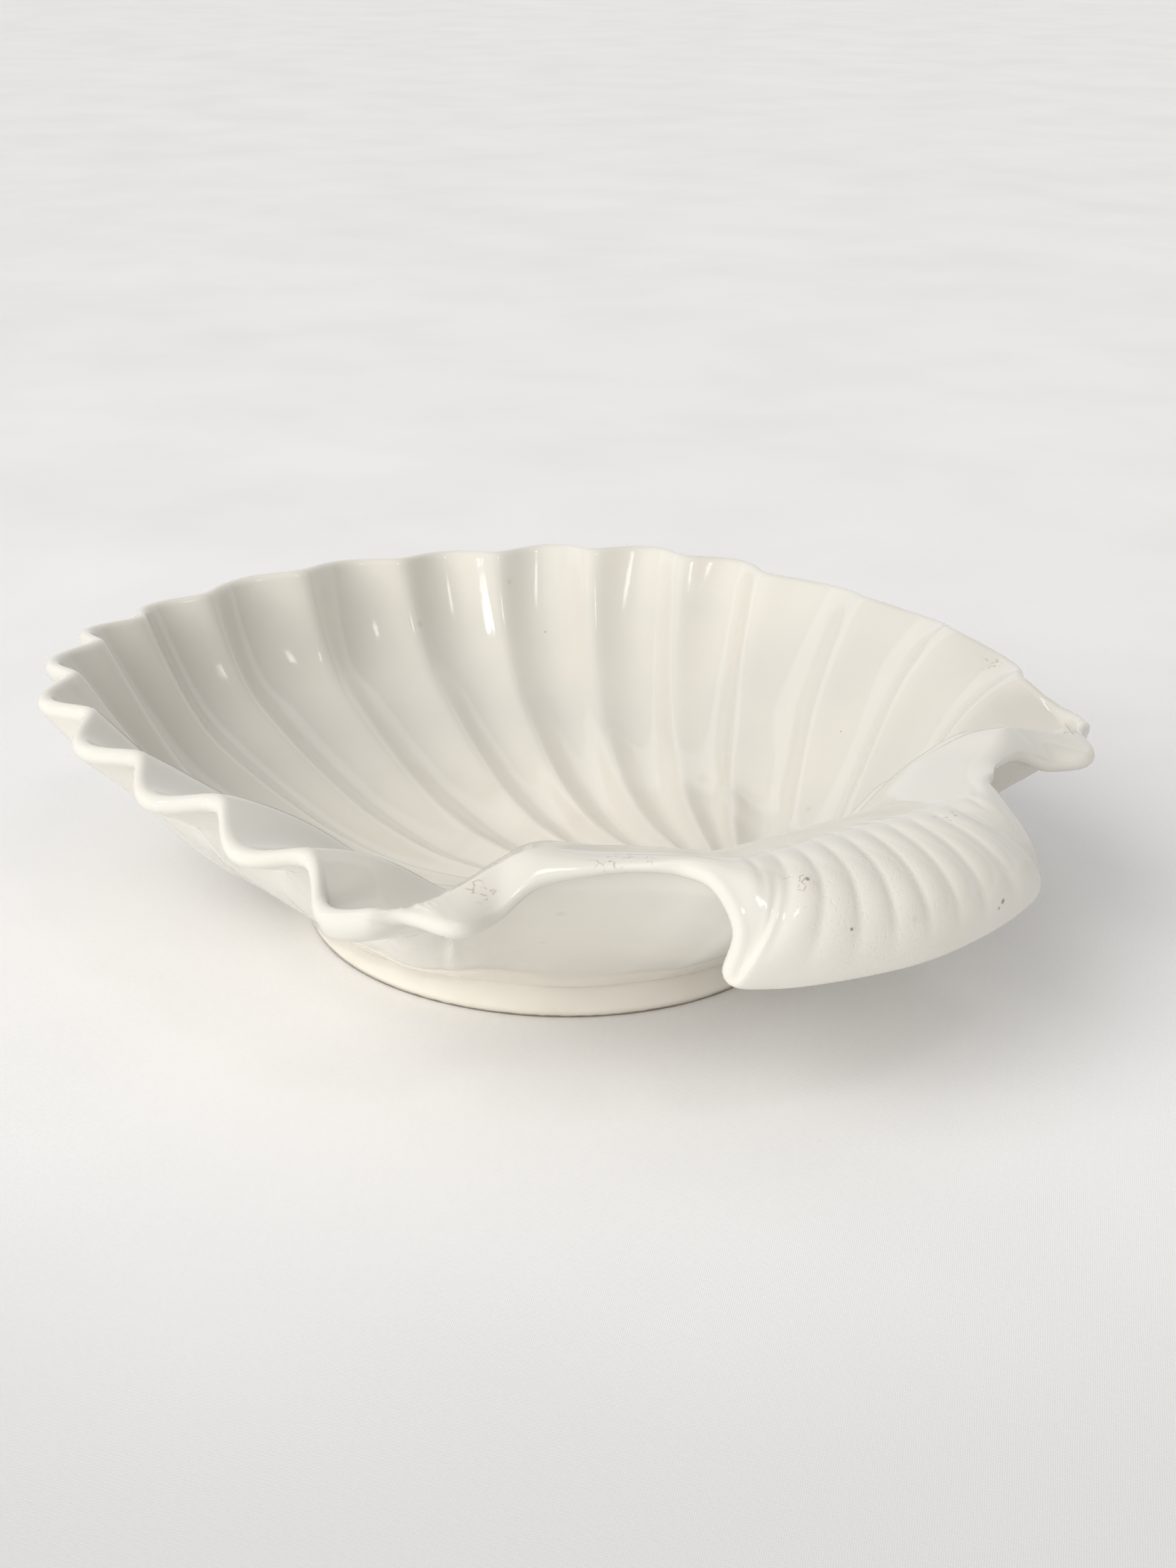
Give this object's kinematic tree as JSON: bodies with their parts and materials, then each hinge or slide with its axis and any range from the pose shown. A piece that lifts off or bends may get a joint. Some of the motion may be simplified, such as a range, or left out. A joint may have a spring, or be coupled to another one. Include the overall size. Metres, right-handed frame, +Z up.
{
  "type": "shell dish",
  "caption": "Fluted shell-shaped ceramic dish on an oval foot, with a ribbed lip curled over at the hinge, for fruit or as a table centrepiece.",
  "frame": {"origin": "middle of the overall box at the level of the foot ring's flat underside", "axes": "+X from the curled hinge lip towards the far end of the fluted rim, +Y to the left side seen from the hinge, +Z up"},
  "size_m": [0.4126, 0.345, 0.0949],
  "materials": {
    "ivory_glaze": "glossy ivory glaze"
  },
  "bodies": {
    "root": {"shell_dish": "ivory_glaze"}
  },
  "joints": []
}
